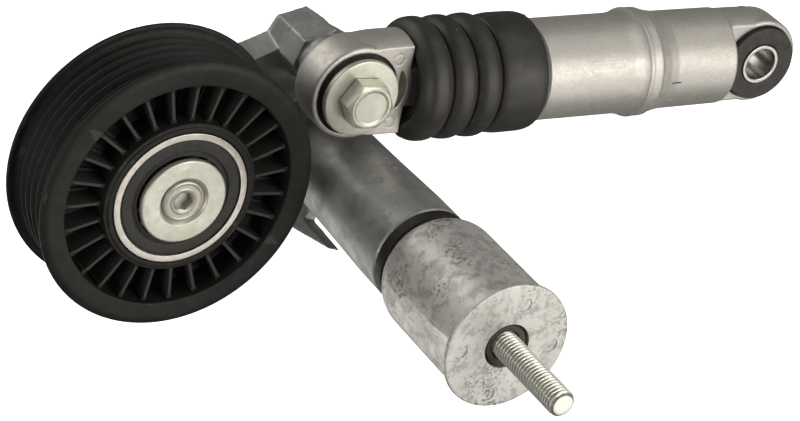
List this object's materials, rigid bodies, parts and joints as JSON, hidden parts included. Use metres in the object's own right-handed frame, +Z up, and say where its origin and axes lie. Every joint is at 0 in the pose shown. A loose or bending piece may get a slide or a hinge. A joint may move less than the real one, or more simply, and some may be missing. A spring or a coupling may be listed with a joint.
{
  "type": "belt tensioner idler",
  "caption": "Belt tensioner: sprung die-cast arm on a through-bolted pivot, ribbed idler pulley on a ball bearing, and a damper with rubber bellows and eyes at both ends.",
  "frame": {"origin": "centre of the mounting face, on the pivot axis", "axes": "+Y along the pivot from the engine towards the arm, +X towards the damper's free eye, +Z up, towards the damper's pin on the arm"},
  "size_m": [0.25, 0.1671, 0.0876],
  "materials": {
    "base_casting": "as-cast, blotchy pale grey, dull satin",
    "arm_casting": "die-cast, mid grey satin with light worn edges",
    "damper_casting": "die-cast, warm light grey satin",
    "rubber": "black satin rubber",
    "nylon": "glass-filled black nylon, matte",
    "plastic": "grey bearing plastic",
    "steel": "ground steel",
    "spring_steel": "dark oiled spring steel",
    "zinc_steel": "zinc-plated and passivated steel, pale yellow-green"
  },
  "bodies": {
    "base": {"base_casting": "base_casting", "captive_collar": "rubber", "pivot_tube": "steel", "mounting_bolt": "zinc_steel", "torsion_spring": "spring_steel", "friction_ring": "rubber", "thrust_washer": "plastic", "end_washer": "zinc_steel"},
    "arm": {"arm_casting": "arm_casting", "pivot_bush": "plastic", "bearing_inner_ring": "steel", "pulley_spacer": "steel", "pulley_washer": "zinc_steel", "pulley_bolt": "zinc_steel", "damper_bolt": "zinc_steel", "damper_washer": "zinc_steel", "near_sleeve": "steel"},
    "pulley": {"pulley_rim": "nylon", "pulley_web": "nylon", "bearing_outer_ring": "steel", "front_seal": "rubber", "rear_seal": "rubber"},
    "bearing_cage": {"ball_cage": "plastic", "ball_1": "steel", "ball_2": "steel", "ball_3": "steel", "ball_4": "steel", "ball_5": "steel", "ball_6": "steel", "ball_7": "steel", "ball_8": "steel"},
    "damper_rod": {"rod_eye": "damper_casting", "near_bush": "rubber", "piston_rod": "steel", "piston": "steel", "piston_ring": "plastic", "piston_nut": "steel", "bellows": "rubber"},
    "damper_housing": {"damper_body": "damper_casting", "rod_seal": "rubber", "rod_guide": "steel", "pressure_tube": "steel", "foot_valve": "plastic", "far_bush": "rubber"},
    "far_sleeve": {"far_sleeve": "steel"}
  },
  "joints": [
    {"name": "arm_pivot", "type": "hinge", "parent": "base", "child": "arm", "pos_m": [0, 0.06, 0], "axis": [0, 1, 0], "range_deg": [0, 25], "stiffness_Nm_per_rad": 11, "springref_deg": -57.3, "deforming": ["torsion_spring"]},
    {"name": "pulley_spin", "type": "hinge", "parent": "arm", "child": "pulley", "pos_m": [-0.0605, 0.0798, 0.0231], "axis": [0, 1, 0], "continuous": true},
    {"name": "cage_spin", "type": "hinge", "parent": "arm", "child": "bearing_cage", "pos_m": [-0.0605, 0.0798, 0.0231], "axis": [0, 1, 0], "continuous": true},
    {"name": "damper_swing", "type": "hinge", "parent": "arm", "child": "damper_rod", "pos_m": [-0.0005, 0.0913, 0.0329], "axis": [0, -1, 0], "range_deg": [-4, 10], "stiffness_Nm_per_rad": 15},
    {"name": "damper_slide", "type": "slide", "parent": "damper_rod", "child": "damper_housing", "axis": [0.9792, 0, -0.2028], "range_m": [-0.012, 0.012], "deforming": ["bellows"]},
    {"name": "far_sleeve_twist", "type": "hinge", "parent": "damper_housing", "child": "far_sleeve", "pos_m": [0.13522, 0.0913, 0.00479], "axis": [0, 1, 0], "range_deg": [-10, 10], "stiffness_Nm_per_rad": 15}
  ],
  "couplings": [
    {"joint": "cage_spin", "follows": "pulley_spin", "ratio": 0.6178}
  ]
}
